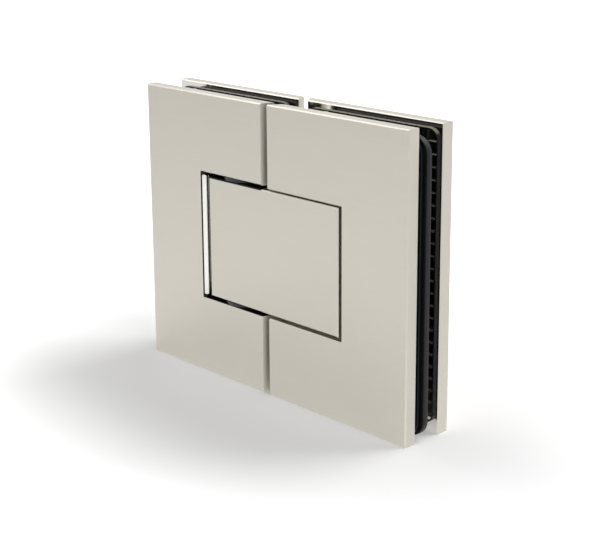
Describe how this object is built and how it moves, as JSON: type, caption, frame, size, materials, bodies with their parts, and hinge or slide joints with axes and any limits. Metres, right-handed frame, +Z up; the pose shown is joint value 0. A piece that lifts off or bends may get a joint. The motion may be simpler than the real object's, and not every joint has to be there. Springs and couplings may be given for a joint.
{
  "type": "glass door hinge",
  "caption": "Glass-to-glass shower door hinge in satin nickel: square cover plates clamp the glass on either side of a flush pivot block, and the door side swings both ways.",
  "frame": {"origin": "middle of the lower edges: half way between the outer edges of the door side and the fixed side, on the mid-plane between the front and the rear faces, level with the lower edges of the plates", "axes": "+X towards the fixed side, +Y towards the rear plates with the screw heads, +Z up along the pivot pin"},
  "size_m": [0.1142, 0.018, 0.09],
  "materials": {
    "satin_nickel": "brass body with fine horizontally brushed satin nickel plating",
    "black_rubber": "black moulded rubber, semi-matt",
    "black_nylon": "black nylon, smooth",
    "acetal": "natural white acetal, smooth",
    "hardened_steel": "ground and hardened steel",
    "spring_steel": "drawn spring wire",
    "stainless_steel": "stainless steel screws, satin"
  },
  "bodies": {
    "fixed_side": {"fixed_front_plate": "satin_nickel", "fixed_rear_plate": "satin_nickel", "pivot_block": "satin_nickel", "upper_bush": "acetal", "lower_bush": "acetal", "detent_plunger": "hardened_steel", "detent_spring": "spring_steel", "spring_plug": "stainless_steel", "fixed_front_gasket": "black_rubber", "fixed_inner_packing": "black_rubber", "fixed_outer_packing": "black_rubber", "fixed_rear_gasket": "black_rubber", "fixed_upper_clamp_screw": "stainless_steel", "fixed_lower_clamp_screw": "stainless_steel"},
    "door_side": {"door_front_plate": "satin_nickel", "door_rear_plate": "satin_nickel", "pivot_pin": "hardened_steel", "upper_thrust_washer": "black_nylon", "lower_thrust_washer": "black_nylon", "door_front_gasket": "black_rubber", "door_inner_packing": "black_rubber", "door_outer_packing": "black_rubber", "door_rear_gasket": "black_rubber", "door_upper_clamp_screw": "stainless_steel", "door_lower_clamp_screw": "stainless_steel", "upper_pin_grub_screw": "stainless_steel", "lower_pin_grub_screw": "stainless_steel"}
  },
  "joints": [
    {"name": "door_swing", "type": "hinge", "parent": "fixed_side", "child": "door_side", "pos_m": [-0.0165, 0, 0.045], "axis": [0, 0, 1], "range_deg": [-90, 90]}
  ]
}
